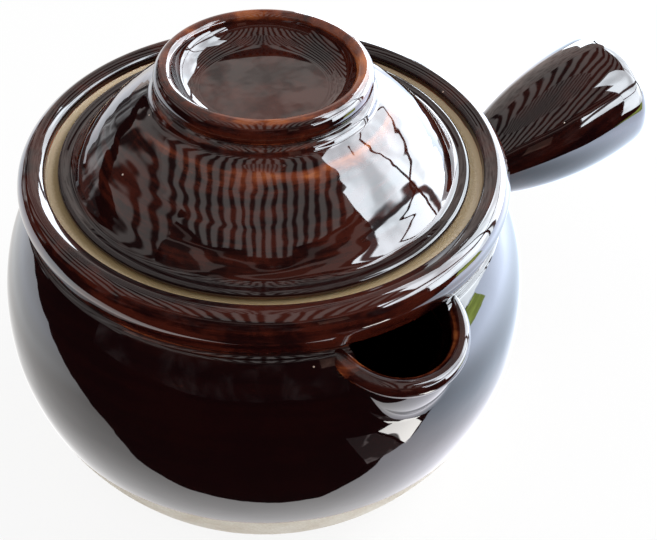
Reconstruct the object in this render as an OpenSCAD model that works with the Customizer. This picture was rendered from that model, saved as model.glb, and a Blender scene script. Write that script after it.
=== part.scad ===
// Lidded stoneware saucepan with a side handle and a pouring spout.
// Millimetres, +Z up. The origin is on the pan's axis at table level, the handle
// points along +X and the spout along -Y. Two pieces: the pan, thrown and fired
// as one with its spout and handle, and the lid, thrown with its ring knob.

/* [Body] */
// Height of the pan from the table to the crest of its collar
pot_h = 117.5; // [110:0.5:128]
// Radius of the belly where the pan is widest
belly_r = 93.6; // [89:0.2:98]
// Height of the widest part of the belly
belly_z = 54.9; // [50:0.5:60]
// How far below its widest part the belly's curve would close at the axis
belly_drop = 90.8; // [84:0.2:98]
// How far above its widest part the shoulder's curve would close at the axis
shoulder_rise = 79.7; // [76:0.2:84]
// Fullness of the belly below its widest part, 2 being an ellipse
belly_fullness = 1.89; // [1.8:0.01:2.1]
// Fullness of the shoulder above the widest part, 2 being an ellipse
shoulder_fullness = 2.3; // [2.1:0.01:2.5]
// Wall thickness of the body
wall = 6; // [5:0.1:7]
// Thickness of the clay under the cooking space
floor_t = 7; // [6:0.1:9]
// Height over which the inside floor rounds up into the wall
floor_blend = 6.4; // [4:0.1:9]
// Height over which the outside of the foot rounds up into the wall
foot_blend = 0.9; // [0.5:0.1:1.6]

/* [Collar] */
// Outer radius of the rolled collar
collar_r = 83.8; // [82:0.1:86]
// Radius of the collar's outer round
collar_round = 8.2; // [7:0.1:9]
// Radius of the collar's crest
collar_crest_round = 2.5; // [1.8:0.1:3.2]
// Fall of the collar's top from its crest in towards the lid, in degrees
collar_slope = 25; // [15:1:32]
// Radius of the collar's inner round, over the ledge
collar_inner_round = 2; // [1.6:0.1:2.4]
// Radius inside the collar, round the lid
mouth_r = 74.2; // [73:0.1:75]
// Height of the collar band, from its crest down to the groove
collar_h = 15.7; // [14.5:0.1:17]
// Radius of the small round along the collar's lower edge
collar_edge_round = 1.8; // [1.2:0.1:2.4]
// How far the collar's lower edge stands in from its widest part
collar_taper = 1.6; // [0.8:0.1:2.4]
// Height of the groove between the collar and the shoulder
groove_h = 1.6; // [1:0.1:2.4]
// Depth of the groove, measured from the collar's lower edge
groove_d = 1.9; // [1:0.1:2.6]
// Radius of the shoulder's edge below the groove
shoulder_round = 1.4; // [0.8:0.1:2]

/* [Ledge for the lid] */
// Depth of the ledge below the collar's crest
ledge_depth = 5; // [4.6:0.1:7]
// Width of the ledge, from the inside of the collar to the ledge's inner edge
ledge_w = 10.7; // [9:0.1:12.5]
// Thickness of the ledge at its inner edge
ledge_t = 5.6; // [4:0.1:6.5]
// Radius of the hollow corner between the ledge and the collar
ledge_cove = 0.9; // [0.6:0.1:1.2]
// Radius of the ledge's rounded inner edge
ledge_round = 1.8; // [1:0.1:2.2]

/* [Spout] */
// Distance of the lip ring's centre inside the edge of the shoulder
spout_inset = 6.3; // [4.5:0.1:7.4]
// Height of the lip ring's centre below the collar's crest
spout_drop = 20.2; // [20:0.1:22.3]
// Radius of the lip ring's centreline
spout_ring_r = 21.8; // [19:0.1:23]
// Radius of the rounded lip
spout_lip_r = 3.2; // [2.4:0.1:3.4]
// How far the lip dips towards its tip, in degrees
spout_dip = 18; // [12:0.5:22]
// Depth of the pouch below the lip, outside
spout_depth = 32; // [26:0.5:36]
// Fullness of the pouch, 2 being an ellipse
spout_fullness = 2.2; // [2:0.05:2.6]
// Wall thickness of the pouch
spout_wall = 4.4; // [3.6:0.1:5]
// How far the pouch stands in under the lip's outer edge
spout_undercut = 2; // [1.4:0.1:2.6]
// Clay left over the opening, below the collar's lower edge
spout_roof = 0.6; // [0.2:0.1:1.2]

/* [Handle] */
// Height at which the handle's axis would cross the pan's axis
handle_z = 47; // [42:0.1:52]
// Rise of the handle, in degrees
handle_tilt = 12.5; // [10:0.1:16]
// Distance from the pan's axis to the handle's tip, along the handle
handle_len = 175.2; // [165:0.2:190]
// Radius of the handle where it leaves the body
handle_root_r = 12.3; // [11.5:0.1:15]
// Largest radius of the handle, near its end
handle_end_r = 24.1; // [22:0.1:26]
// How far the handle's sides bulge between its root and its end
handle_bulge = 3.7; // [1:0.1:5]
// Length of the handle's rounded end
handle_cap = 12; // [10:0.5:24]
// Bluntness of the end, 2 being an ellipse
handle_blunt = 3; // [2:0.1:4]
// Wall thickness of the hollow handle
handle_wall = 5; // [4:0.1:6]
// Length over which the root flares into the body
handle_flare = 9; // [6:0.5:12]
// How much the root widens where it joins the body
handle_flare_r = 4; // [2:0.1:5]
// Diameter of the firing vent under the handle's root
vent_d = 4; // [3:0.1:5]
// Distance of the vent beyond the belly, along the handle
vent_out = 19; // [15:0.5:26]

/* [Lid] */
// Gap between the lid's edge and the inside of the collar
lid_gap = 4.3; // [3.6:0.1:5]
// Radius of the lid's rounded edge
lid_edge_round = 1.5; // [1.2:0.1:2]
// Width of the flat ring under the lid's edge that sits on the ledge
lid_seat_w = 3; // [2:0.1:3.6]
// Width of the small gutter between the lid's edge and its dome
lid_gutter_w = 1.6; // [1:0.1:2.4]
// Depth of the gutter below the top of the lid's edge
lid_gutter_d = 0.7; // [0.3:0.1:1.2]
// Height of the dome, from the gutter to the foot of the knob
dome_rise = 26.6; // [23:0.1:30]
// How far the dome bulges from a straight cone
dome_bulge = 1.6; // [0.4:0.1:3]
// Thickness of the lid's dome
lid_wall = 5; // [4:0.1:6]

/* [Knob] */
// Radius of the knob's foot, where it meets the dome
knob_foot_r = 37.8; // [36.8:0.1:39]
// Outer radius of the knob's lip
knob_r = 35.9; // [35:0.1:36.6]
// Height of the knob from its foot to the crest of its lip
knob_h = 10.9; // [9.5:0.1:12]
// Radius of the lip's outer face
knob_lip_round = 5.3; // [4.8:0.1:5.6]
// Radius of the lip's crest
knob_crest_round = 2.6; // [2.2:0.1:2.9]
// Depth of the dish inside the knob
dish_depth = 8.9; // [7:0.1:9.4]
// Radius of the dish's flat floor
dish_floor_r = 22; // [19:0.1:24]
// How far the dish's wall is hollowed from a straight cone
dish_hollow = 1.4; // [0.6:0.1:2]

/* [Hidden] */
$fn = 96;
lip_facets = 24;
glaze = [0.16, 0.06, 0.045];
arc_steps = 4;
curve_steps = 9;
bowl_steps = 7;
// A hair's breadth that keeps two faces from lying in one plane
hair = 0.2;
// Angles at which the collar's arcs meet one another, in degrees above level
collar_arc_start = -12;
collar_arc_end = 60;
join_step = 2;
lead_in = 10;
// Angles at which the lid's arcs start or end, in degrees above level
lid_edge_end = 115;
lip_under = -28;
crest_lean = 48;
crest_end = 175;
// Sagittas of the handle's flare and of the knob's foot
flare_bow = 1;
foot_bow = 0.5;
// How far the knob's foot stands in under its lip, and the step where it meets the dome
knob_waist_in = 1.2;
knob_waist_drop = 3;
knob_foot_step = 0.7;
// Run of the short slope under the lid's seat
seat_slope = 2;

crest_inset = collar_round - collar_crest_round;
collar_crest_z = pot_h - collar_crest_round;
collar_centre = [collar_r - collar_round, collar_crest_z - crest_inset * sin(collar_arc_end)];
groove_top = pot_h - collar_h;
groove_bottom = groove_top - groove_h;
groove_r = collar_r - collar_taper - groove_d;
ledge_z = pot_h - ledge_depth;
ledge_inner_r = mouth_r - ledge_w;

shoulder_z = groove_bottom - shoulder_round;
shoulder_r = belly_at(belly_r, shoulder_rise, shoulder_fullness, shoulder_z - belly_z);
shoulder_lean = belly_lean(belly_r, shoulder_rise, shoulder_fullness, shoulder_z - belly_z);
spout_reach = shoulder_r - spout_inset;

inner_r = belly_r - wall;
inner_drop = belly_drop - wall;
inner_rise = shoulder_rise - wall / 3;
under_ledge_z = groove_bottom - shoulder_round - wall / 2;

lid_edge_r = mouth_r - lid_gap;
lid_edge_z = ledge_z + lid_edge_round;
gutter_r = lid_edge_r - 2 * lid_edge_round - lid_gutter_w / 2;
gutter_z = ledge_z + 2 * lid_edge_round - lid_gutter_d;
knob_foot_z = gutter_z + dome_rise;
knob_top = knob_foot_z + knob_h;

// Points along an arc about c, from angle a0 to a1
function arc(c, r, a0, a1, n = arc_steps) =
    [for (i = [0:n]) let (a = a0 + (a1 - a0) * i / n) c + r * [cos(a), sin(a)]];

// Points of a shallow arc from p to q that bulges to the left of the way by the sagitta s
function bow(p, q, s, n = arc_steps) =
    let (d = q - p, len = norm(d), side = [-d[1], d[0]] / len)
    [for (i = [0:n]) let (t = i / n) p + d * t + side * s * 4 * t * (1 - t)];

// Points of a bowl's side, from its bottom on the axis up to its rim at height zero
function quarter_bowl(r, d, k = 2, n = bowl_steps) =
    [for (i = [0:n]) let (a = 90 - 90 * i / n) [r * pow(cos(a), 2 / k), -d * pow(sin(a), 2 / k)]];

// The same points in the other order
function reversed(list) = [for (i = [len(list) - 1:-1:0]) list[i]];

// Radius of a belly curve with half height h at a distance dz from its widest part
function belly_at(r, h, k, dz) = r * pow(1 - pow(dz / h, k), 1 / k);

// Slope of that curve, as an angle from the vertical
function belly_lean(r, h, k, dz) =
    atan(r / h * pow(1 - pow(dz / h, k), 1 / k - 1) * pow(dz / h, k - 1));

// Points of the curve between two heights, from z0 to z1
function belly_curve(r, h, k, z0, z1, n = curve_steps) =
    [for (i = [0:n]) let (z = z0 + (z1 - z0) * i / n) [belly_at(r, h, k, abs(z - belly_z)), z]];

// A round that starts level at height z and runs into the belly curve over the height b
function level_blend(r, h, k, z, b) =
    let (a = belly_lean(r, h, k, belly_z - z - b),
         rad = b / (1 - sin(a)),
         end_r = belly_at(r, h, k, belly_z - z - b))
    arc([end_r - rad * cos(a), z + rad], rad, -90, -a);

// Centre of the collar's inner round, which the sloping top of the collar runs into
function inner_round_centre(crest_c) =
    let (a = 90 + collar_slope,
         start = crest_c + (collar_crest_round - collar_inner_round) * [cos(a), sin(a)],
         run = start[0] - mouth_r - collar_inner_round)
    start - run * [1, tan(collar_slope)];

// Outside of the body, from the foot up over the collar to the mouth
function body_outside() =
    let (edge_c = [collar_r - collar_taper - collar_edge_round, groove_top + collar_edge_round],
         round_c = [shoulder_r, shoulder_z] - shoulder_round * [cos(shoulder_lean), sin(shoulder_lean)],
         crest_c = [collar_centre[0] + crest_inset * cos(collar_arc_end), collar_crest_z])
    concat(
        level_blend(belly_r, belly_drop, belly_fullness, 0, foot_blend),
        belly_curve(belly_r, belly_drop, belly_fullness, foot_blend + 1, belly_z),
        belly_curve(belly_r, shoulder_rise, shoulder_fullness, belly_z + 2, shoulder_z),
        arc(round_c, shoulder_round, shoulder_lean + lead_in, 90),
        [[groove_r, groove_bottom + hair], [groove_r, groove_top + hair]],
        arc(edge_c, collar_edge_round, -90 - lead_in, collar_arc_start),
        arc(collar_centre, collar_round, collar_arc_start - join_step, collar_arc_end, 2 * arc_steps),
        arc(crest_c, collar_crest_round, collar_arc_end + lead_in, 90 + collar_slope),
        arc(inner_round_centre(crest_c), collar_inner_round, 90 + collar_slope, 180));

// Inside of the body, from the mouth down over the ledge to the floor
function body_inside() =
    let (edge_c = [ledge_inner_r + ledge_round, ledge_z - ledge_round],
         cove_c = [mouth_r - ledge_cove, ledge_z + ledge_cove])
    concat(
        arc(cove_c, ledge_cove, 0, -90),
        arc(edge_c, ledge_round, 90, 180),
        [[ledge_inner_r, ledge_z - ledge_t]],
        belly_curve(inner_r, inner_rise, shoulder_fullness, under_ledge_z, belly_z),
        belly_curve(inner_r, inner_drop, belly_fullness, belly_z - 2, floor_t + floor_blend + 1),
        reversed(level_blend(inner_r, inner_drop, belly_fullness, floor_t, floor_blend)));

// The thrown body and its collar, a turned shell
module body_shell()
    rotate_extrude()
        polygon(concat(
            [[0, 0]],
            body_outside(),
            body_inside(),
            [[0, floor_t]]));

// What is scraped off the spout and the handle inside the body, up to the middle of its wall
module body_core()
    rotate_extrude()
        polygon(concat(
            [[0, floor_t / 2]],
            belly_curve(belly_r - wall / 2, belly_drop - wall / 2, belly_fullness, floor_t / 2, belly_z),
            belly_curve(belly_r - wall / 2, inner_rise + wall / 6, shoulder_fullness,
                belly_z + 2, under_ledge_z),
            [[groove_r - wall, groove_bottom], [ledge_inner_r + wall, ledge_z - ledge_t / 2],
             [0, ledge_z - ledge_t / 2]]));

// Places its children in the spout's frame, whose XY plane holds the lip ring
module at_spout()
    translate([0, -spout_reach, pot_h - spout_drop])
        rotate([spout_dip, 0, 0])
            children();

// The pouch, solid, which hangs straight down and ends above in the plane of the lip
module pouch_blank() {
    pouch_r = spout_ring_r + spout_lip_r - spout_undercut;
    difference() {
        translate([0, -spout_reach, pot_h - spout_drop])
            rotate_extrude()
                polygon(concat(
                    quarter_bowl(pouch_r, spout_depth, spout_fullness),
                    [[pouch_r, pouch_r], [0, pouch_r]]));
        at_spout()
            cylinder(r = belly_r, h = belly_r);
    }
}

// The rounded lip, a ring that ends inside the body's wall
module lip_ring()
    difference() {
        at_spout()
            rotate_extrude()
                translate([spout_ring_r, 0])
                    circle(r = spout_lip_r, $fn = lip_facets);
        cylinder(r = groove_r - wall / 3, h = pot_h);
    }

// The hollow of the spout, open above and running through the body's wall
module spout_hollow() {
    bowl_r = spout_ring_r - spout_lip_r;
    bowl_d = spout_depth - spout_wall;
    intersection() {
        at_spout()
            rotate_extrude()
                polygon(concat(quarter_bowl(bowl_r, bowl_d), [[bowl_r, spout_ring_r], [0, spout_ring_r]]));
        translate([0, 0, groove_top - spout_roof - spout_ring_r * 3])
            cylinder(r = belly_r * 2, h = spout_ring_r * 3);
    }
}

// Places its children along the handle, whose own Z runs outwards from the pan's axis
module at_handle()
    translate([0, 0, handle_z])
        rotate([0, 90 - handle_tilt, 0])
            children();

// Outline of the handle, taken in by the distance t
function handle_side(t) =
    let (root = belly_r, cap = handle_len - handle_cap, r0 = handle_root_r - t, r1 = handle_end_r - t)
    concat(
        bow([r0, root + handle_flare], [r1, cap], -handle_bulge, curve_steps),
        [for (i = [1:curve_steps]) let (a = 90 * i / curve_steps)
            [r1 * pow(cos(a), 2 / handle_blunt), cap + (handle_cap - t) * pow(sin(a), 2 / handle_blunt)]]);

module handle_blank()
    at_handle()
        rotate_extrude()
            polygon(concat(
                [[0, belly_r - handle_root_r]],
                [[handle_root_r + handle_flare_r, belly_r - handle_root_r]],
                bow([handle_root_r + handle_flare_r, belly_r - wall / 2],
                    [handle_root_r, belly_r + handle_flare], flare_bow),
                handle_side(0)));

module handle_hollow()
    at_handle() {
        rotate_extrude()
            polygon(concat(
                [[0, belly_r + handle_flare]],
                handle_side(handle_wall)));
        translate([0, 0, belly_r + vent_out])
            rotate([0, 90, 0])
                cylinder(d = vent_d, h = handle_end_r * 2);
    }

module pot()
    color(glaze)
        difference() {
            union() {
                body_shell();
                lip_ring();
                difference() {
                    union() {
                        pouch_blank();
                        handle_blank();
                    }
                    body_core();
                }
            }
            spout_hollow();
            handle_hollow();
        }

// Upper side of the lid, from its seat round the edge and over the dome to the dish's floor
function lid_outside() =
    let (lip_c = [knob_r - knob_lip_round, knob_top - knob_crest_round
                  - (knob_lip_round - knob_crest_round) * sin(crest_lean)],
         crest_c = lip_c + (knob_lip_round - knob_crest_round) * [cos(crest_lean), sin(crest_lean)],
         waist = [knob_r - knob_waist_in, lip_c[1] - knob_waist_drop],
         foot_top = [knob_foot_r, knob_foot_z] + knob_foot_step * [-1, 1],
         dish_edge = [crest_c[0] - knob_crest_round, crest_c[1]],
         dish_floor = [dish_floor_r, knob_top - dish_depth])
    concat(
        arc([lid_edge_r - lid_edge_round, lid_edge_z], lid_edge_round, -90, lid_edge_end, 2 * arc_steps),
        [[gutter_r, gutter_z]],
        bow([gutter_r - lid_gutter_w, gutter_z + lid_gutter_d], [knob_foot_r, knob_foot_z],
            -dome_bulge, curve_steps),
        bow(foot_top, waist, foot_bow),
        arc(lip_c, knob_lip_round, lip_under, crest_lean),
        arc(crest_c, knob_crest_round, crest_lean + lead_in, crest_end),
        bow(dish_edge, dish_floor, -dish_hollow),
        [[0, dish_floor[1]]]);

// Underside of the lid, from its middle out to the seat
function lid_inside() =
    let (top_z = knob_top - dish_depth - lid_wall,
         seat_r = lid_edge_r - lid_edge_round - lid_seat_w)
    concat(
        [[0, top_z]],
        [[dish_floor_r, top_z]],
        bow([knob_foot_r, knob_foot_z] - lid_wall * [1, 1], [seat_r, ledge_z] + seat_slope * [-1, 1],
            dome_bulge, curve_steps),
        [[seat_r, ledge_z]]);

module lid()
    color(glaze)
        rotate_extrude()
            polygon(concat(lid_outside(), lid_inside()));

pot();
lid();
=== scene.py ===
import math

import bmesh
import bpy
import numpy as np
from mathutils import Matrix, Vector


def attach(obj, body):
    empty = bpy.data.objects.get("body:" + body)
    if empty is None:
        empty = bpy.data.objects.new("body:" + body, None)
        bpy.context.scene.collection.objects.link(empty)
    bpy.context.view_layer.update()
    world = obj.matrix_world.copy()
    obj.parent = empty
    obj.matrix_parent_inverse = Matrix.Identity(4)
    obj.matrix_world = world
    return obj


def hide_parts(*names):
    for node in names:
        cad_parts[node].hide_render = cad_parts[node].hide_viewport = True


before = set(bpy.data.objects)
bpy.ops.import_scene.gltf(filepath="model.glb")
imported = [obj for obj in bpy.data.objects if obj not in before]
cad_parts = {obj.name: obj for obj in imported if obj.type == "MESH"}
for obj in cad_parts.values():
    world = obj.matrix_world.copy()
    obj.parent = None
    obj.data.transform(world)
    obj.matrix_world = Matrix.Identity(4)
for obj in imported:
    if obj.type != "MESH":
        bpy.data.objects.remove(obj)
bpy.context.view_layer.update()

MM = 0.001

# Sizes of the pan in millimetres, the same values as in the part's source
POT_H = 117.5
BELLY_R, BELLY_Z = 93.6, 54.9
BELLY_DROP, BELLY_FULL = 90.8, 1.89
SHOULDER_RISE, SHOULDER_FULL = 79.7, 2.3
WALL, FLOOR_T = 6.0, 7.0
COLLAR_R, COLLAR_ROUND, COLLAR_CREST, COLLAR_INNER_ROUND = 83.8, 8.2, 2.5, 2.0
COLLAR_SLOPE, CREST_START = 25.0, 60.0
MOUTH_R, COLLAR_H, COLLAR_TAPER, COLLAR_EDGE = 74.2, 15.7, 1.6, 1.8
GROOVE_H, GROOVE_D, SHOULDER_ROUND = 1.6, 1.9, 1.4
LEDGE_DEPTH, LEDGE_INNER_R, LEDGE_T = 5.0, 63.5, 5.6
LEDGE_COVE, LEDGE_ROUND = 0.9, 1.8
SPOUT_REACH, SPOUT_DROP, SPOUT_RING_R = 76.12, 20.2, 21.8
SPOUT_LIP_R, SPOUT_DIP, SPOUT_DEPTH, SPOUT_FULL = 3.15, 18.0, 32.0, 2.2
SPOUT_WALL, SPOUT_UNDERCUT, SPOUT_ROOF = 4.4, 2.0, 0.6
HANDLE_Z, HANDLE_TILT, HANDLE_LEN = 47.0, 12.5, 175.2
HANDLE_ROOT_R, HANDLE_END_R, HANDLE_BULGE = 12.3, 24.1, 3.7
HANDLE_CAP, HANDLE_BLUNT = 12.0, 3.0
LID_GAP, LID_EDGE, LID_SEAT_W = 4.3, 1.5, 3.0
LID_GUTTER_W, LID_GUTTER_D, LID_WALL = 1.6, 0.7, 5.0
DOME_RISE, DOME_BULGE = 26.6, 1.6
KNOB_FOOT_R, KNOB_R, KNOB_H = 37.8, 35.9, 10.9
KNOB_LIP, KNOB_CREST, CREST_LEAN = 5.3, 2.6, 48.0
DISH_DEPTH, DISH_FLOOR_R, DISH_HOLLOW = 8.9, 22.0, 1.4

GROOVE_TOP = POT_H - COLLAR_H
GROOVE_BOTTOM = GROOVE_TOP - GROOVE_H
GROOVE_R = COLLAR_R - COLLAR_TAPER - GROOVE_D
LEDGE_Z = POT_H - LEDGE_DEPTH
ROOF_Z = GROOVE_TOP - SPOUT_ROOF
INNER_R, INNER_DROP, INNER_RISE = BELLY_R - WALL, BELLY_DROP - WALL, SHOULDER_RISE - WALL / 3
UNDER_LEDGE_Z = GROOVE_BOTTOM - SHOULDER_ROUND - WALL / 2
LID_EDGE_R = MOUTH_R - LID_GAP
HANDLE_ROOT = BELLY_R + 9.0
POUCH_R = SPOUT_RING_R + SPOUT_LIP_R - SPOUT_UNDERCUT
BOWL_R, BOWL_D = SPOUT_RING_R - SPOUT_LIP_R, SPOUT_DEPTH - SPOUT_WALL

# Small rounds: the base's edge as distances in from the belly and heights, the hollow corner round
# the floor, and the waist under the knob
BASE_EDGE, BASE_EDGE_Z, BASE_EDGE_TOP = ((4, 0), (1.2, 0.05), (0.3, 0.4)), 1.0, 1.6
CORNER_ROUND, CORNER_INSET, CORNER_TOP = 15.2, 13.0, 6.4
WAIST_INSET, WAIST_DROP, WAIST_HOLLOW = 1.2, 3.0, 0.5

# How far the glaze rounds off the outside and the lid, the inside and the handle
OUTSIDE_SOFT, INSIDE_SOFT, HANDLE_SOFT = 0.3, 0.4, 1.2

# Fillets where the handle and the spout join the body, how far each of their last rows sinks into
# it, and the tries at a ball that fits: how much room it needs, how it shrinks and how often
HANDLE_FILLET, SPOUT_FILLET, SUNK = 5.5, 7.0, 0.03
BALL_ROOM, BALL_SHRINK, SHRINKS, HALVINGS = 1.08, 0.93, 60, 40

# Where each fillet is sought: along the handle's axis from its root, and down the pouch
HANDLE_CLEAR, HANDLE_SUNK, POUCH_CLEAR, POUCH_SUNK = 20.0, 24.0, 0.03, 0.99

# A softened profile has a point every TURN_STEP degrees, no closer and no wider than the two gaps
FINE_STEP, TURN_STEP, LEAST_GAP, WIDEST_GAP = 0.1, 7, 0.3, 2.6

# Points round a turned piece, the handle and the spout's hollow, and along the spout's lip
TURN_COLS, HANDLE_COLS, HOLLOW_COLS, LIP_COLS = 288, 128, 144, 121
POUCH_ROWS, BOWL_ROWS, GRIP_ROWS, ROOF_ROWS, ROOF_COLS = 16, 30, 14, 8, 25

# Half the angle of the spout's lip and of its pouch, the bearings between which the spout's way in
# has a roof, and where the handle's grip begins beyond its root
LIP_TURN, POUCH_TURN = 91, 79
ROOF_FROM, ROOF_TO = -107, -73
GRIP_START = 22

# Where the glaze ends: over the foot, round the ledge, and over the ledge at the lid's edge. The
# attribute bare_clay is how far past that line a point lies, and GLAZED is well before it.
GLAZE_LINE = 28.6
LEDGE_BARE_R, LEDGE_BARE_Z, LEDGE_EDGE_H = 64.4, 113.2, 2
LID_BARE_H = 0.6
GLAZED = -5.0

# The attribute brown_glaze, from 0 for black to 1 for brown, and the height over which it blends
BELLY_BROWN, COLLAR_ADDS, INSIDE_BROWN, LIP_BROWN = 0.05, 1.1, 0.3, 0.5
LID_BROWN, LID_EDGE_BROWN, LID_EDGE_W = 1.0, 0.15, 5
BROWN_BLEND = 8
DARK_GLAZE = {"thin_glaze": 0.0, "bare_clay": GLAZED, "brown_glaze": 0.06}
HANDLE_GLAZE = {"thin_glaze": 0.0, "bare_clay": GLAZED, "brown_glaze": 0.35}

# The attribute thin_glaze goes from 0 to 1 over this range of a profile's turn, in radians a
# millimetre, and only a share of that turn counts below the collar
THIN_FROM, THIN_RANGE, BELLY_THIN = 0.05, 0.35, 0.3

# Thin glaze on the spout's lip: shares, angles round its section (0 outwards, 90 up) and widths,
# and the same for its left end by the angle along it
LIP_THIN, LIP_CRESTS, LIP_LEFT_END = 0.1, ((0.8, 140, 16), (0.6, -35, 25)), (0.6, -74, 12)

# The rust under the knob: how far out from the knob's foot, how wide and how far up the dome it is
RUST_OUT, RUST_WIDTH, RUST_FROM_H = 3.5, 5, 12
LID_THIN, RUST_THIN = 0.85, 1.15


# Profiles

def arc(centre, radius, a0, a1, step=6.0):
    n = max(2, int(abs(a1 - a0) / step))
    a = np.radians(np.linspace(a0, a1, n + 1))
    return np.stack([centre[0] + radius * np.cos(a), centre[1] + radius * np.sin(a)], 1)


def belly_at(r, h, k, dz):
    """Radius of a superellipse of exponent k, r wide and h high, at a height dz from its middle."""
    return r * (1 - (np.abs(dz) / h) ** k) ** (1 / k)


def belly_curve(r, h, k, z0, z1):
    z = np.arange(z0, z1, np.sign(z1 - z0) * 1.0)
    return np.stack([belly_at(r, h, k, z - BELLY_Z), z], 1)


def bow(p, q, s, n=24):
    """A line from p to q that bulges sideways by s in its middle."""
    p, q = np.array(p, float), np.array(q, float)
    d = q - p
    side = np.array([-d[1], d[0]]) / np.hypot(*d)
    t = np.linspace(0, 1, n + 1)[:, None]
    return p + d * t + side * s * 4 * t * (1 - t)


def at_angle(degrees):
    a = np.radians(degrees)
    return np.array([np.cos(a), np.sin(a)])


def collar_outline():
    """The rolled collar, from its lower edge over the crest and down to the mouth."""
    edge_c = (COLLAR_R - COLLAR_TAPER - COLLAR_EDGE, GROOVE_TOP + COLLAR_EDGE)
    crest_inset = COLLAR_ROUND - COLLAR_CREST
    crest_z = POT_H - COLLAR_CREST
    collar_c = np.array([COLLAR_R - COLLAR_ROUND, crest_z - crest_inset * at_angle(CREST_START)[1]])
    crest_c = collar_c + crest_inset * at_angle(CREST_START)
    start = crest_c + (COLLAR_CREST - COLLAR_INNER_ROUND) * at_angle(90 + COLLAR_SLOPE)
    run = start[0] - MOUTH_R - COLLAR_INNER_ROUND
    inner_c = start - run * np.array([1, np.tan(np.radians(COLLAR_SLOPE))])
    return np.concatenate([
        arc(edge_c, COLLAR_EDGE, -102, -12, 10),
        arc(collar_c, COLLAR_ROUND, -14, CREST_START),
        arc(crest_c, COLLAR_CREST, CREST_START + 4, 90 + COLLAR_SLOPE),
        arc(inner_c, COLLAR_INNER_ROUND, 92 + COLLAR_SLOPE, 180, 10),
    ])


def body_outside():
    """From the middle of the base up over the collar to the mouth."""
    foot_r = belly_at(BELLY_R, BELLY_DROP, BELLY_FULL, BELLY_Z - BASE_EDGE_Z)
    shoulder_z = GROOVE_BOTTOM - SHOULDER_ROUND
    shoulder_r = belly_at(BELLY_R, SHOULDER_RISE, SHOULDER_FULL, shoulder_z - BELLY_Z)
    round_c = (shoulder_r - SHOULDER_ROUND * 0.85, shoulder_z - SHOULDER_ROUND * 0.5)
    return np.concatenate([
        [(0, 0)] + [(foot_r - inset, z) for inset, z in BASE_EDGE],
        belly_curve(BELLY_R, BELLY_DROP, BELLY_FULL, BASE_EDGE_TOP, BELLY_Z),
        belly_curve(BELLY_R, SHOULDER_RISE, SHOULDER_FULL, BELLY_Z, shoulder_z),
        arc(round_c, SHOULDER_ROUND, 36, 92, 12),
        [(GROOVE_R, GROOVE_BOTTOM + 0.25), (GROOVE_R, GROOVE_TOP + 0.1)],
        collar_outline(),
    ])


def body_inside():
    """From the mouth down over the ledge to the middle of the floor."""
    cove_c = (MOUTH_R - LEDGE_COVE, LEDGE_Z + LEDGE_COVE)
    edge_c = (LEDGE_INNER_R + LEDGE_ROUND, LEDGE_Z - LEDGE_ROUND)
    corner_r = belly_at(INNER_R, INNER_DROP, BELLY_FULL, BELLY_Z - FLOOR_T - CORNER_TOP)
    return np.concatenate([
        arc(cove_c, LEDGE_COVE, 0, -90, 10),
        arc(edge_c, LEDGE_ROUND, 90, 180, 10),
        [(LEDGE_INNER_R, LEDGE_Z - LEDGE_T)],
        belly_curve(INNER_R, INNER_RISE, SHOULDER_FULL, UNDER_LEDGE_Z, BELLY_Z),
        belly_curve(INNER_R, INNER_DROP, BELLY_FULL, BELLY_Z, FLOOR_T + CORNER_TOP),
        arc((corner_r - CORNER_INSET, FLOOR_T + CORNER_ROUND), CORNER_ROUND, -34, -90),
        [(0, FLOOR_T)],
    ])


def lid_profile():
    """From the middle of the dish over the knob, the dome and the edge, and back under the lid."""
    edge_c = (LID_EDGE_R - LID_EDGE, LEDGE_Z + LID_EDGE)
    gutter = (edge_c[0] - LID_EDGE - LID_GUTTER_W / 2, LEDGE_Z + 2 * LID_EDGE - LID_GUTTER_D)
    foot_z = gutter[1] + DOME_RISE
    top = foot_z + KNOB_H
    crest_inset = KNOB_LIP - KNOB_CREST
    lip_c = np.array([KNOB_R - KNOB_LIP, top - KNOB_CREST - crest_inset * at_angle(CREST_LEAN)[1]])
    crest_c = lip_c + crest_inset * at_angle(CREST_LEAN)
    waist = (KNOB_R - WAIST_INSET, lip_c[1] - WAIST_DROP)
    floor_z = top - DISH_DEPTH
    seat_r = LID_EDGE_R - LID_EDGE - LID_SEAT_W
    return np.concatenate([
        [(0, floor_z), (DISH_FLOOR_R, floor_z)],
        bow((DISH_FLOOR_R, floor_z), (crest_c[0] - KNOB_CREST, crest_c[1]), -DISH_HOLLOW, 10)[1:],
        arc(crest_c, KNOB_CREST, 175, CREST_LEAN, 10),
        arc(lip_c, KNOB_LIP, CREST_LEAN, -28),
        bow(waist, (KNOB_FOOT_R - 0.6, foot_z + 0.8), WAIST_HOLLOW, 6),
        bow((KNOB_FOOT_R, foot_z), (gutter[0] - LID_GUTTER_W, gutter[1] + 0.6), DOME_BULGE),
        [gutter],
        arc(edge_c, LID_EDGE, 115, -90, 10),
        [(seat_r, LEDGE_Z)],
        bow((seat_r - 2, LEDGE_Z + 2), (KNOB_FOOT_R - LID_WALL, foot_z - LID_WALL), -DOME_BULGE),
        [(DISH_FLOOR_R, floor_z - LID_WALL), (0, floor_z - LID_WALL)],
    ])


def evenly_spaced(profile, step):
    length = np.hypot(*np.diff(profile, axis=0).T)
    profile = profile[np.concatenate([[True], length > 1e-6])]
    s = np.concatenate([[0], np.cumsum(np.hypot(*np.diff(profile, axis=0).T))])
    t = np.arange(0, s[-1], step)
    return np.stack([np.interp(t, s, profile[:, i]) for i in (0, 1)], 1)


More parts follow.
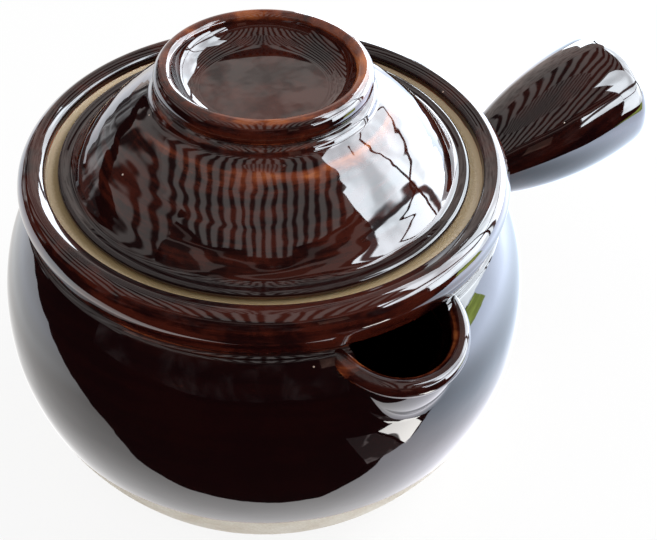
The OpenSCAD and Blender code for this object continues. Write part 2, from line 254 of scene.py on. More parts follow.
def blurred(line, sigma, step):
    """The line with its corners rounded by a bell curve, and its ends kept."""
    half = int(4 * sigma / step)
    bell = np.exp(-0.5 * (np.arange(-half, half + 1) * step / sigma) ** 2)
    bell /= bell.sum()
    lead = 2 * line[0] - line[half:0:-1]
    tail = 2 * line[-1] - line[-2:-half - 2:-1]
    padded = np.concatenate([lead, line, tail])
    return np.stack([np.convolve(padded[:, i], bell, "valid") for i in (0, 1)], 1)


def soften(profile, sigma):
    """Rounds a profile as a flowing glaze does, and spaces its points by how sharply it turns.

    Gives the points, and how sharply the profile turns clockwise there, in radians a millimetre."""
    smooth = blurred(evenly_spaced(profile, FINE_STEP), sigma, FINE_STEP)
    smooth[0], smooth[-1] = profile[0], profile[-1]
    d = np.gradient(smooth, axis=0)
    turn = -np.gradient(np.unwrap(np.arctan2(d[:, 1], d[:, 0]))) / FINE_STEP
    density = np.clip(np.abs(turn) / math.radians(TURN_STEP), 1 / WIDEST_GAP, 1 / LEAST_GAP)
    count = np.cumsum(density * FINE_STEP)
    index = np.arange(len(count))
    picks = np.interp(np.arange(count[0], count[-1], 1.0), count, index)
    points = np.stack([np.interp(picks, index, smooth[:, i]) for i in (0, 1)], 1)
    turn = np.interp(picks, index, turn)
    return np.concatenate([points, smooth[-1:]]), np.append(turn, turn[-1])


# Meshes

def link(name, data):
    obj = bpy.data.objects.new(name, data)
    bpy.context.scene.collection.objects.link(obj)
    return obj


def grid_faces(rows, cols, closed):
    """Quads of a grid of rows by cols points, closed round its columns or not."""
    r, c = np.meshgrid(np.arange(rows - 1), np.arange(cols if closed else cols - 1), indexing="ij")
    here, there = r * cols, (r + 1) * cols
    n = (c + 1) % cols
    return np.stack([here + c, here + n, there + n, there + c], -1).reshape(-1, 4)


def turned(profile):
    """A profile turned about +Z: points and quads. A point on the axis becomes a ring of equals."""
    a = np.linspace(0, 2 * np.pi, TURN_COLS, endpoint=False)
    r, z = profile[:, 0][:, None], profile[:, 1][:, None]
    pts = np.stack([r * np.cos(a), r * np.sin(a), z + 0 * a], -1)
    return pts.reshape(-1, 3), grid_faces(len(profile), TURN_COLS, True)


def make_mesh(name, parts):
    """One smooth object from parts (points in millimetres, quads, glaze values), doubles merged."""
    verts, faces, n = [], [], 0
    for v, f, _ in parts:
        verts.append(v)
        faces.append(f + n)
        n += len(v)
    mesh = bpy.data.meshes.new(name)
    mesh.from_pydata((np.concatenate(verts) * MM).tolist(), [], np.concatenate(faces).tolist())
    for key in DARK_GLAZE:
        values = np.concatenate([np.broadcast_to(glaze[key], len(v)) for v, _, glaze in parts])
        attribute = mesh.attributes.new(key, "FLOAT", "POINT")
        attribute.data.foreach_set("value", values.astype(np.float32))
    obj = link(name, mesh)
    bm = bmesh.new()
    bm.from_mesh(mesh)
    bmesh.ops.remove_doubles(bm, verts=bm.verts, dist=1e-6)
    bmesh.ops.dissolve_degenerate(bm, edges=bm.edges, dist=1e-7)
    bm.to_mesh(mesh)
    bm.free()
    mesh.polygons.foreach_set("use_smooth", [True] * len(mesh.polygons))
    return obj


def snap_and_cut(verts, quads, inside):
    """Takes the quads away where inside(points) < 0, and moves the points next to the cut to it."""
    value = inside(verts)
    edges = np.concatenate([quads[:, [i, (i + 1) % 4]] for i in range(4)])
    crossing = edges[value[edges[:, 0]] * value[edges[:, 1]] < 0]
    moved = verts.copy()
    for a, b in crossing:
        va, vb = value[a], value[b]
        if va == 0 or vb == 0:
            continue
        t = va / (va - vb)
        near = a if t < 0.5 else b
        moved[near] = verts[a] + t * (verts[b] - verts[a])
        value[near] = 0
    keep = (value[quads] >= 0).all(1) & (value[quads] > 0).any(1)
    return moved, quads[keep]


# The body, with the way into the spout cut through its wall

def spout_local(p):
    """Points in the spout's own frame: x along the lip, y outwards, z up out of the pouch."""
    c, s = at_angle(SPOUT_DIP)
    y, z = -(p[:, 1] + SPOUT_REACH), p[:, 2] - (POT_H - SPOUT_DROP)
    return np.stack([p[:, 0], y * c - z * s, y * s + z * c], 1)


def spout_world(q):
    c, s = at_angle(SPOUT_DIP)
    y = q[..., 1] * c + q[..., 2] * s
    z = -q[..., 1] * s + q[..., 2] * c
    return np.stack([q[..., 0], -(y + SPOUT_REACH), z + POT_H - SPOUT_DROP], -1)


def in_spout_hollow(p):
    """Below zero inside the hollow of the spout, in millimetres near its skin."""
    q = spout_local(p)
    rho = np.hypot(q[:, 0], q[:, 1])
    low = np.minimum(q[:, 2], 0) / BOWL_D
    bowl = (np.sqrt((rho / BOWL_R) ** 2 + low ** 2) - 1) * BOWL_R
    return np.maximum(bowl, p[:, 2] - ROOF_Z)


outside, outside_turn = soften(body_outside(), OUTSIDE_SOFT)
inside, inside_turn = soften(body_inside(), INSIDE_SOFT)


def distance_to(profile, p):
    """Distance of points from a turned profile, below zero in the clay, and the nearest points."""
    r = np.hypot(p[:, 0], p[:, 1])
    q = np.stack([r, p[:, 2]], 1)
    a, ab = profile[:-1], np.diff(profile, axis=0)
    t = np.clip(((q[:, None] - a) * ab).sum(-1) / (ab ** 2).sum(-1), 0, 1)
    near = a + t[..., None] * ab
    gap = np.hypot(*np.moveaxis(q[:, None] - near, -1, 0))
    i = gap.argmin(1)
    best = near[np.arange(len(q)), i]
    side = ab[i][:, 0] * (q - best)[:, 1] - ab[i][:, 1] * (q - best)[:, 0]
    signed = np.where(side < 0, gap.min(1), -gap.min(1))
    scale = best[:, 0] / np.maximum(r, 1e-9)
    return signed, np.stack([p[:, 0] * scale, p[:, 1] * scale, best[:, 1]], 1)


def hump(x, middle, width):
    """1 at the middle, falling to nothing on both sides."""
    return np.exp(-((x - middle) / width) ** 2)


def surface_values(turn, bare, brown):
    """The glaze's attributes at every point of a turned piece, from the values down its profile."""
    thin = np.clip((turn - THIN_FROM) / THIN_RANGE, 0, 1)
    values = {"thin_glaze": thin, "bare_clay": bare, "brown_glaze": brown}
    return {key: np.repeat(value, TURN_COLS) for key, value in values.items()}


def body_glaze(profile, turn, on_outside):
    """Near black under the collar and brown on it, bare on the foot and the ledge."""
    r, z = profile.T
    foot = np.where(on_outside, GLAZE_LINE - z, GLAZED)
    on_ledge = ~on_outside & (z >= LEDGE_Z - LEDGE_EDGE_H)
    ledge = np.where(on_ledge, np.minimum(r - LEDGE_BARE_R, LEDGE_BARE_Z - z), GLAZED)
    blend_z = GROOVE_TOP - BROWN_BLEND / 2
    up = np.clip((z - blend_z) / BROWN_BLEND, 0, 1)
    brown = np.where(on_outside, BELLY_BROWN + COLLAR_ADDS * up, INSIDE_BROWN)
    below = on_outside & (z < blend_z + BROWN_BLEND)
    turn = np.where(below, BELLY_THIN * turn, turn)
    return surface_values(turn, np.maximum(foot, ledge), brown)


def spout_roof():
    """The flat top of the way from the cooking space into the spout."""
    r = np.linspace(LEDGE_INNER_R + 4, GROOVE_R + 0.3, ROOF_ROWS)[:, None]
    a = np.radians(np.linspace(ROOF_FROM, ROOF_TO, ROOF_COLS))
    points = np.stack([r * np.cos(a), r * np.sin(a), 0 * r * a + ROOF_Z], -1)
    return points.reshape(-1, 3), grid_faces(ROOF_ROWS, ROOF_COLS, False), DARK_GLAZE


def build_body():
    profile = np.concatenate([outside, inside[1:]])
    turn = np.concatenate([outside_turn, inside_turn[1:]])
    on_outside = np.arange(len(profile)) < len(outside)
    points, faces = snap_and_cut(*turned(profile), in_spout_hollow)
    values = body_glaze(profile, turn, on_outside)
    return make_mesh("pot_body", [(points, faces, values), spout_roof()])


# Fillets between the body and what grows out of it

def rolled_ball(surface, normal, clear, sunk, radius):
    """The parameter at which a ball on a grid surface touches the body too, and the ball's radius.

    A bisection between the parameters clear (off the body) and sunk (inside it) finds it, for each
    column. The ball gets smaller where one of the full radius would not fit before clear."""
    radius = np.full((len(clear), 1), float(radius))
    for _ in range(SHRINKS):
        gap = distance_to(outside, surface(clear) + radius * normal(clear))[0]
        radius = np.where(gap[:, None] < BALL_ROOM * radius, BALL_SHRINK * radius, radius)
    for _ in range(HALVINGS):
        middle = (clear + sunk) / 2
        gap = distance_to(outside, surface(middle) + radius * normal(middle))[0]
        fits = gap > radius[:, 0]
        clear, sunk = np.where(fits, middle, clear), np.where(fits, sunk, middle)
    return clear, radius


def unit(v, least=0.0):
    """Vectors made one long, where they are longer than the least length."""
    return v / np.maximum(np.linalg.norm(v, axis=1, keepdims=True), least)


def fillet_rows(surface, normal, clear, sunk, radius, rows=8, tail=2.5):
    """Rows of points of a rolling-ball fillet from a grid surface to the body, and where it starts.

    surface(t) and normal(t) give a point and a normal for each column's parameter t. Two more rows
    run on over the body for the tail's length and sink into it, so that no edge stands off."""
    t, radius = rolled_ball(surface, normal, clear, sunk, radius)
    ball = surface(t) + radius * normal(t)
    _, foot = distance_to(outside, ball)
    u = -normal(t)
    w = unit(foot - ball)
    angle = np.arccos(np.clip((u * w).sum(1), -1, 1))[:, None]
    out = []
    for s in np.linspace(0, 1, rows + 1):
        turned_u = np.sin((1 - s) * angle) * u + np.sin(s * angle) * w
        mix = np.where(angle > 1e-4, turned_u / np.maximum(np.sin(angle), 1e-6), u)
        out.append(ball + radius * mix)
    along = unit(out[-1] - out[-2], 1e-9)
    for k in (1, 2):
        _, near = distance_to(outside, foot + along * tail * k / 2)
        out.append(near + SUNK * k * w)
    return t, out


# The spout: its rounded lip, its pouch with a fillet onto the body, and its hollow

def swept(section, angles):
    """A section (radius, height) swept about the spout's own axis."""
    r, z = section[:, :1], section[:, 1:]
    points = np.stack([r * np.sin(angles), r * np.cos(angles), z + 0 * angles], -1)
    return spout_world(points).reshape(-1, 3)


def spout_lip():
    """An arc of a torus. Its glaze is thin high on its inner and low on its outer side, and at the
    left end."""
    section = arc((SPOUT_RING_R, 0), SPOUT_LIP_R, -180, 180, 12)
    around = np.linspace(-180, 180, len(section))
    along = np.linspace(-LIP_TURN, LIP_TURN, LIP_COLS)
    crests = LIP_THIN + sum(share * hump(around, at, width) for share, at, width in LIP_CRESTS)
    share, at, width = LIP_LEFT_END
    thin = np.add.outer(crests, share * hump(along, at, width)).ravel()
    glaze = {"thin_glaze": thin, "bare_clay": GLAZED, "brown_glaze": LIP_BROWN}
    faces = grid_faces(len(section), LIP_COLS, False)
    return swept(section, np.radians(along)), faces, glaze


def spout_pouch():
    """The outside of the pouch, a superellipse from the lip's plane down to the fillet."""
    phi = np.radians(np.linspace(-POUCH_TURN, POUCH_TURN, LIP_COLS))
    centre = np.array([0, -SPOUT_REACH, POT_H - SPOUT_DROP])

    def around(rho, z):
        return np.stack([rho * np.sin(phi), -rho * np.cos(phi), z], 1)

    def skin(t):
        a, share = t * np.pi / 2, 2 / SPOUT_FULL
        return centre + around(POUCH_R * np.cos(a) ** share, -SPOUT_DEPTH * np.sin(a) ** share)

    def normal(t):
        a, share = t * np.pi / 2, 2 - 2 / SPOUT_FULL
        return unit(around(np.cos(a) ** share / POUCH_R, -np.sin(a) ** share / SPOUT_DEPTH))

    dip = POUCH_R * np.cos(phi) * math.tan(math.radians(SPOUT_DIP)) / SPOUT_DEPTH
    top = np.arcsin(dip ** (SPOUT_FULL / 2)) * 2 / np.pi
    sunk = np.full(LIP_COLS, POUCH_SUNK)
    t, fillet = fillet_rows(skin, normal, top + POUCH_CLEAR, sunk, SPOUT_FILLET)
    wall = [skin(top + (t - top) * k / POUCH_ROWS) for k in range(POUCH_ROWS)]
    faces = grid_faces(len(wall) + len(fillet), LIP_COLS, False)
    return np.concatenate(wall + fillet), faces, DARK_GLAZE


def spout_hollow():
    """The skin of the hollow, kept where it lies in the pouch or in the body's wall."""
    low = np.radians(np.linspace(-90, 0, BOWL_ROWS))
    bowl = np.stack([BOWL_R * np.cos(low), BOWL_D * np.sin(low)], 1)
    section = np.concatenate([bowl, [(BOWL_R, 3.0), (BOWL_R, 8.0)]])

    def needed(p):
        gap_in, gap_out = distance_to(inside, p)[0], distance_to(outside, p)[0]
        above = np.maximum(spout_local(p)[:, 2], p[:, 2] - ROOF_Z)
        return np.minimum(-gap_in, -np.minimum(above, gap_out))

    points = swept(section, np.linspace(0, 2 * np.pi, HOLLOW_COLS, endpoint=False))
    faces = grid_faces(len(section), HOLLOW_COLS, True)[:, ::-1]
    return *snap_and_cut(points, faces, needed), DARK_GLAZE


def build_spout():
    return make_mesh("pot_spout", [spout_lip(), spout_pouch(), spout_hollow()])


# The handle

def handle_curve():
    """Radius and distance along the axis, from inside the body to the middle of the blunt end."""
    cap = HANDLE_LEN - HANDLE_CAP
    side = bow((HANDLE_ROOT_R, HANDLE_ROOT), (HANDLE_END_R, cap), -HANDLE_BULGE, 40)
    a = np.radians(np.linspace(0, 90, 60))[1:]
    end = np.stack([HANDLE_END_R * np.cos(a) ** (2 / HANDLE_BLUNT),
                    cap + HANDLE_CAP * np.sin(a) ** (2 / HANDLE_BLUNT)], 1)
    start = (HANDLE_ROOT_R - 5.0, HANDLE_ROOT - 25)
    return soften(np.concatenate([[start], side, end]), HANDLE_SOFT)[0]


def build_handle():
    phi = np.linspace(0, 2 * np.pi, HANDLE_COLS, endpoint=False)[:, None]
    c, s = at_angle(HANDLE_TILT)
    along, up, across = np.array([c, 0, s]), np.array([-s, 0, c]), np.array([0, -1.0, 0])
    outwards = np.cos(phi) * up + np.sin(phi) * across
    middle = np.array([0, 0, HANDLE_Z])
    curve = handle_curve()

    def radius_at(s):
        return np.interp(s, curve[:, 1], curve[:, 0])

    def skin(s):
        return middle + s[:, None] * along + radius_at(s)[:, None] * outwards

    def normal(s):
        return unit(outwards - (radius_at(s + 0.5) - radius_at(s - 0.5))[:, None] * along)

    clear = np.full(HANDLE_COLS, HANDLE_ROOT + HANDLE_CLEAR)
    sunk = np.full(HANDLE_COLS, HANDLE_ROOT - HANDLE_SUNK)
    s, fillet = fillet_rows(skin, normal, clear, sunk, HANDLE_FILLET, rows=10, tail=4.0)
    grip = HANDLE_ROOT + GRIP_START
    tip = [middle + z * along + r * outwards for r, z in curve[::-1] if z > grip]
    neck = [skin(grip + (s - grip) * k / GRIP_ROWS) for k in range(GRIP_ROWS)]
    rows = tip + neck + fillet
    faces = grid_faces(len(rows), HANDLE_COLS, True)[:, ::-1]
    return make_mesh("pot_handle", [(np.concatenate(rows), faces, HANDLE_GLAZE)])


# The lid

def rust_under_knob(r, z):
    """A ring of thin glaze on the top of the dome, stronger on the spout's side."""
    on_dome = (z < LEDGE_Z + DOME_RISE) & (z > LEDGE_Z + RUST_FROM_H)
    down = hump(r, KNOB_FOOT_R + RUST_OUT, RUST_WIDTH) * on_dome
    around = 0.6 - 0.4 * np.sin(np.linspace(0, 2 * np.pi, TURN_COLS, endpoint=False))
    return np.outer(down, around).ravel()


def build_lid():
    profile, turn = soften(lid_profile(), OUTSIDE_SOFT)
    points, faces = turned(profile)
    r, z = profile.T
    on_edge = r > LID_EDGE_R - LID_EDGE_W
    bare = np.where(r > DISH_FLOOR_R, LEDGE_Z + LID_BARE_H - z, GLAZED)
    brown = np.where(on_edge, LID_EDGE_BROWN, LID_BROWN)
    values = surface_values(np.where(on_edge, 0, turn), bare, brown)
    thin = LID_THIN * values["thin_glaze"]
    values["thin_glaze"] = np.maximum(thin, RUST_THIN * rust_under_knob(r, z))
    return make_mesh("lid_dome", [(points, faces[:, ::-1], values)])


# Materials

THICK_GLAZE = (0.0055, 0.0009, 0.0013, 1)
BROWN_GLAZE = (0.046, 0.0075, 0.004, 1)
RUST = (0.15, 0.03, 0.011, 1)
ORANGE = (0.42, 0.125, 0.035, 1)
SPECK = (0.55, 0.42, 0.34, 1)
TOASTED = (0.13, 0.045, 0.02, 1)
CLAY = (0.74, 0.70, 0.62, 1)
CLAY_DARK = (0.58, 0.51, 0.41, 1)
LEDGE_CLAY = (0.50, 0.38, 0.23, 1)
# Olive painted shade: the lid's shadow on the ledge next to its edge and on the lid's bare seat
LEDGE_PAINTED_SHADE = (0.27, 0.185, 0.075, 1)

GLAZE_ROUGHNESS, CLAY_ROUGHER, GLAZE_IOR = 0.035, 0.72, 1.56

# Heights in metres between which the foot's clay gives way to the ledge's, and radii in metres
# between which the ledge goes from an olive painted shade, where the lid's shadow falls, to cream
LEDGE_CLAY_FROM, LEDGE_CLAY_TO = 0.09, 0.1
LID_SHADE_R, CREAM_R = 0.0708, 0.0728

# The pale specks in the glaze: one cell in nine has one, with a soft edge
SPECK_CELL_MM, SPECK_SHARE, SPECK_R, SPECK_EDGE = 7.5, 0.11, 0.034, 1.8

# Ramps from and to which the patches of the glaze turn it brown (and how much), rusty and orange,
# and those by the distance past its edge that give the toasted line and the bare clay
BROWN_RAMP, RUST_RAMP, ORANGE_RAMP = (-0.22, 0.28, 0.08, 1.3), (0.42, 1.15), (0.85, 1.7)
TOASTED_RAMP, TOASTED_SHARE, CLAY_RAMP = (-1.4, 0.0), 0.75, (-0.15, 0.25)

# Radii in metres over which the drawn-out noises fade in round the axis, where they would crowd
FLOW_FADE, THROWN_FADE = (0.012, 0.03), (0.02, 0.034)

# Heights in millimetres of the glaze's waves, ripples, thrown rings and specks, and of the grain
WAVES_MM, RIPPLES_MM, THROWN_MM, SPECK_MM, GRAIN_MM = 0.36, 0.022, 0.16, 0.06, 0.16

# Scale of a wave texture whose lines are one unit apart, and how wide the noise of the rings is
WAVE_SCALE, RING_SPREAD = 0.314, 0.08


class Tree:
    """Short calls for making a material's nodes."""

    def __init__(self, name):
        self.mat = bpy.data.materials.new(name)
        self.mat.use_nodes = True
        self.nodes, self.links = self.mat.node_tree.nodes, self.mat.node_tree.links
        self.shader = self.nodes["Principled BSDF"]
        self.surface = self.nodes["Material Output"].inputs["Surface"]

    def put(self, value, socket):
        if isinstance(value, bpy.types.NodeSocket):
            self.links.new(value, socket)
        elif value is not None:
            socket.default_value = value

    def attribute(self, name):
        node = self.nodes.new("ShaderNodeAttribute")
        node.attribute_name = name
        return node.outputs["Fac"]

    def coords(self):
        return self.nodes.new("ShaderNodeTexCoord").outputs["Object"]

    def split(self, place):
        node = self.nodes.new("ShaderNodeSeparateXYZ")
        self.put(place, node.inputs[0])
        return node.outputs

    def noise(self, place, size_mm, detail=2.0, rough=0.5, warp=0.0):
        node = self.nodes.new("ShaderNodeTexNoise")
        self.put(place, node.inputs["Vector"])
        node.inputs["Scale"].default_value = 1000.0 / size_mm
        node.inputs["Detail"].default_value = detail
        node.inputs["Roughness"].default_value = rough
        node.inputs["Distortion"].default_value = warp
        return node.outputs["Fac"]

    def lines(self, place, apart, warp, detail):
        """Winding lines across x, that many metres apart."""
        node = self.nodes.new("ShaderNodeTexWave")
        self.put(place, node.inputs["Vector"])
        node.inputs["Scale"].default_value = WAVE_SCALE / apart
        node.inputs["Distortion"].default_value = warp
        node.inputs["Detail"].default_value = detail
        return node.outputs["Fac"]

    def math(self, kind, a, b=0.0):
        node = self.nodes.new("ShaderNodeMath")
        node.operation = kind
        self.put(a, node.inputs[0])
        self.put(b, node.inputs[1])
        return node.outputs[0]

    def add(self, a, b):
        return self.math("ADD", a, b)

    def times(self, a, b):
        return self.math("MULTIPLY", a, b)

    def centred(self, value, times):
        return self.times(self.math("SUBTRACT", value, 0.5), times)

    def ramp(self, value, low, high, to_low=0.0, to_high=1.0):
        node = self.nodes.new("ShaderNodeMapRange")
        node.interpolation_type = "SMOOTHSTEP"
        for number, socket in zip((value, low, high, to_low, to_high), node.inputs):
            self.put(number, socket)
        return node.outputs["Result"]

    def mix(self, share, a, b):
        """Colours a and b mixed. The node has its sockets for colours at the places 6, 7 and 2."""
        node = self.nodes.new("ShaderNodeMix")
        node.data_type = "RGBA"
        self.put(share, node.inputs["Factor"])
        self.put(a, node.inputs[6])
        self.put(b, node.inputs[7])
        return node.outputs[2]

    def bump(self, height, distance_mm, normal=None):
        node = self.nodes.new("ShaderNodeBump")
        node.inputs["Strength"].default_value = 1.0
        node.inputs["Distance"].default_value = distance_mm * MM
        self.put(height, node.inputs["Height"])
        self.put(normal, node.inputs["Normal"])
        return node.outputs["Normal"]


def specks(t, place):
    cells = t.nodes.new("ShaderNodeTexVoronoi")
    t.put(place, cells.inputs["Vector"])
    cells.inputs["Scale"].default_value = 1000.0 / SPECK_CELL_MM
    rare = t.nodes.new("ShaderNodeSeparateColor")
    t.put(cells.outputs["Color"], rare.inputs[0])
    chosen = t.math("GREATER_THAN", rare.outputs[0], 1 - SPECK_SHARE)
    near = t.ramp(cells.outputs["Distance"], SPECK_R, SPECK_R * SPECK_EDGE, 1.0, 0.0)
    return t.times(chosen, near)


class GlazePlaces:
    """The coordinates, noises and attributes that several parts of the glaze's material share."""

    def __init__(self, t):
        self.tree = t
        self.place = t.coords()
        self.x, self.y, self.z = t.split(self.place)
        square = t.add(t.times(self.x, self.x), t.times(self.y, self.y))
        self.r = t.math("MAXIMUM", t.math("SQRT", square), MM)
        self.tone = t.attribute("brown_glaze")
        self.grain = t.noise(self.place, 0.9, detail=5, rough=0.65)
        self.speck = specks(t, self.place)

    def rings(self, stretch):
        """Coordinates in which a noise is drawn out round the axis, as a thrown pot's rings are."""
        t = self.tree
        node = t.nodes.new("ShaderNodeCombineXYZ")
        for value, socket in zip((self.x, self.y), node.inputs):
            t.put(t.times(t.math("DIVIDE", value, self.r), RING_SPREAD / stretch), socket)
        t.put(t.math("SUBTRACT", t.times(self.z, 2.0), self.r), node.inputs[2])
        return node.outputs[0]


def glaze_colour(t, at):
    """Black where the glaze is thick, brown in clouds, rusty and orange where thin, and specks."""
    thin = t.attribute("thin_glaze")
    broken = t.centred(t.noise(at.place, 6, detail=4, rough=0.65, warp=0.8), 0.5)
    cloud = t.centred(t.noise(at.place, 27, detail=3, rough=0.55, warp=0.5), 1.3)
    flow = t.centred(t.noise(at.rings(6.0), 7, detail=3, rough=0.6), 1.3)
    flow = t.times(flow, t.ramp(at.r, *FLOW_FADE))
    patchy = t.add(t.add(cloud, flow), broken)
    brown = t.times(at.tone, t.ramp(patchy, *BROWN_RAMP))
    colour = t.mix(brown, THICK_GLAZE, BROWN_GLAZE)
    rusty = t.add(thin, t.add(patchy, broken))
    colour = t.mix(t.ramp(rusty, *RUST_RAMP), colour, RUST)
    glowing = t.add(thin, t.times(patchy, 1.6))
    colour = t.mix(t.ramp(glowing, *ORANGE_RAMP), colour, ORANGE)
    return t.mix(at.speck, colour, SPECK)


def clay_colour(t, at):
    """Pale worn clay on the foot, and cream clay on the ledge, darkened to olive as painted shade
    near and under the lid.
    """
    worn = t.ramp(t.add(t.noise(at.place, 14, detail=3), at.grain), 0.7, 1.35)
    # Painted shade: the ledge is olive near the lid's edge and under the lid, where the lid shades
    # it, and cream further out
    outwards = t.ramp(t.add(at.r, t.centred(at.grain, 0.002)), LID_SHADE_R, CREAM_R)
    on_ledge = t.mix(outwards, LEDGE_PAINTED_SHADE, LEDGE_CLAY)
    high = t.ramp(at.z, LEDGE_CLAY_FROM, LEDGE_CLAY_TO)
    return t.mix(high, t.mix(worn, CLAY, CLAY_DARK), on_ledge)


def glaze_bumps(t, at, clay):
    """Slow waves and fine ripples of the glaze, rings of throwing, specks and the clay's grain."""
    normal = t.bump(t.noise(at.place, 24, detail=1, rough=0.4), WAVES_MM)
    normal = t.bump(t.noise(at.place, 5.5, detail=1, rough=0.4), RIPPLES_MM, normal)
    thrown = t.noise(at.rings(2.2), 11, detail=0, rough=0.4, warp=0.3)
    thrown = t.times(thrown, t.add(t.times(at.tone, 0.9), 0.1))
    normal = t.bump(t.times(thrown, t.ramp(at.r, *THROWN_FADE)), THROWN_MM, normal)
    normal = t.bump(at.speck, SPECK_MM, normal)
    return t.bump(t.times(at.grain, clay), GRAIN_MM, normal)


def glaze_material():
    """Iron-brown glaze over pale clay, bare where the attribute bare_clay is above zero."""
    t = Tree("stoneware_glaze")
    at = GlazePlaces(t)
    ragged = t.centred(t.noise(at.place, 16, detail=3, rough=0.55), 1.6)
    edge = t.add(t.attribute("bare_clay"), ragged)
    clay = t.ramp(edge, *CLAY_RAMP)
    toasted = t.times(t.ramp(edge, *TOASTED_RAMP), TOASTED_SHARE)
    colour = t.mix(toasted, glaze_colour(t, at), TOASTED)
    t.put(t.mix(clay, colour, clay_colour(t, at)), t.shader.inputs["Base Color"])
    roughness = t.add(t.times(clay, CLAY_ROUGHER), GLAZE_ROUGHNESS)
    t.put(roughness, t.shader.inputs["Roughness"])
    t.shader.inputs["IOR"].default_value = GLAZE_IOR
    t.put(glaze_bumps(t, at, clay), t.shader.inputs["Normal"])
    return t.mat


# The studio's light on the pan, and how much of what is seen of the floor is pure white

SOFT_LIGHT = 0.8
KEY_SIZE, KEY_POWER, KEY_PLACE, KEY_AIM = (1.0, 0.8), 14, (1.1, 0.5, 0.9), (0, 0, 0.06)
FLOOR_WHITE, FLOOR_HALF = 0.86, 12.0
FLOOR_GREY, FLOOR_PALE = (0.86, 0.86, 0.86, 1), (0.89, 0.89, 0.89, 1)


def seen_directly(nodes, links):
    """1 for a ray from the camera, a reflection or glass, which sees the background as white."""
    path = nodes.new("ShaderNodeLightPath")
    seen = path.outputs["Is Camera Ray"]
    for name in ("Is Glossy Ray", "Is Transmission Ray"):
        add = nodes.new("ShaderNodeMath")
        add.operation = "ADD"
        add.use_clamp = True
        links.new(seen, add.inputs[0])
        links.new(path.outputs[name], add.inputs[1])
        seen = add.outputs[0]
    return seen


def stage_material():
    """A pale floor, seen as mostly white with a share of itself and of the pan's shadow on it."""
    t = Tree("pale_floor")
    fine = t.noise(t.coords(), 300, 2)
    t.put(t.mix(fine, FLOOR_GREY, FLOOR_PALE), t.shader.inputs["Base Color"])
    t.shader.inputs["Roughness"].default_value = 0.9
    t.shader.inputs["Specular IOR Level"].default_value = 0.0
    white = t.nodes.new("ShaderNodeEmission")
    white.inputs["Strength"].default_value = 1.0
    blend = t.nodes.new("ShaderNodeMixShader")
    t.put(t.times(seen_directly(t.nodes, t.links), FLOOR_WHITE), blend.inputs[0])
    t.links.new(t.shader.outputs[0], blend.inputs[1])
    t.links.new(white.outputs[0], blend.inputs[2])
    t.links.new(blend.outputs[0], t.surface)
    return t.mat


def add_stage():
    mesh = bpy.data.meshes.new("floor")
    s = FLOOR_HALF
    mesh.from_pydata([(-s, -s, 0), (s, -s, 0), (s, s, 0), (-s, s, 0)], [], [(0, 1, 2, 3)])
    floor = link("floor", mesh)
    mesh.materials.append(stage_material())


def add_key():
    data = bpy.data.lights.new("key", "AREA")
    data.shape = "RECTANGLE"
    data.size, data.size_y = KEY_SIZE
    data.energy = KEY_POWER
    key = link("key", data)
    key.location = to_world(*KEY_PLACE)
    key.rotation_euler = (Vector(KEY_AIM) - key.location).to_track_quat("-Z", "Y").to_euler()
    key.visible_glossy = False


def add_world():
    """White for what looks past everything, and a soft light on the rest."""
    world = bpy.data.worlds.new("studio")
    bpy.context.scene.world = world
    world.use_nodes = True
    nodes, links = world.node_tree.nodes, world.node_tree.links
    spread = nodes.new("ShaderNodeMapRange")
    spread.inputs["To Min"].default_value = SOFT_LIGHT
    spread.inputs["To Max"].default_value = 1.0
    links.new(seen_directly(nodes, links), spread.inputs["Value"])
    links.new(spread.outputs["Result"], nodes["Background"].inputs["Strength"])
    nodes["Background"].inputs["Color"].default_value = (1, 1, 1, 1)


# The camera stands where the photograph's did

CAMERA_AIM_Z = 62.5
CAMERA_DISTANCE = 460.0
CAMERA_AZIMUTH, CAMERA_PITCH = -32.0, 42.0
FOCAL_PIXELS, PHOTO_W, PHOTO_H = 1247.0, 657, 540
AXIS_PIXEL_X, AXIS_PIXEL_Y = 263.8, 270.0


def add_camera():
    data = bpy.data.cameras.new("camera")
    data.sensor_width = 36
    data.lens = FOCAL_PIXELS * data.sensor_width / PHOTO_W
    data.shift_x = (PHOTO_W / 2 - AXIS_PIXEL_X) / PHOTO_W
    data.shift_y = (AXIS_PIXEL_Y - PHOTO_H / 2) / PHOTO_W
    data.clip_start, data.clip_end = 0.01, 50
    cam = link("camera", data)
    a, e = math.radians(CAMERA_AZIMUTH), math.radians(CAMERA_PITCH)
    back = Vector((math.sin(a) * math.cos(e), -math.cos(a) * math.cos(e), math.sin(e)))
    cam.location = Vector((0, 0, CAMERA_AIM_Z * MM)) + back * CAMERA_DISTANCE * MM
    cam.rotation_euler = (-back).to_track_quat("-Z", "Y").to_euler()
    bpy.context.scene.camera = cam


def to_world(x, y, z):
    """From the camera's frame, x to the picture's right and y away from it, to the model's."""
    a = math.radians(CAMERA_AZIMUTH)
    return (x * math.cos(a) - y * math.sin(a), x * math.sin(a) + y * math.cos(a), z)


# What the glaze reflects. Cards lie on the table, as outlines in the camera's frame, in metres.
# Screens stand round the pan, by bearing (0 behind it, 90 to its right) and height, in degrees.

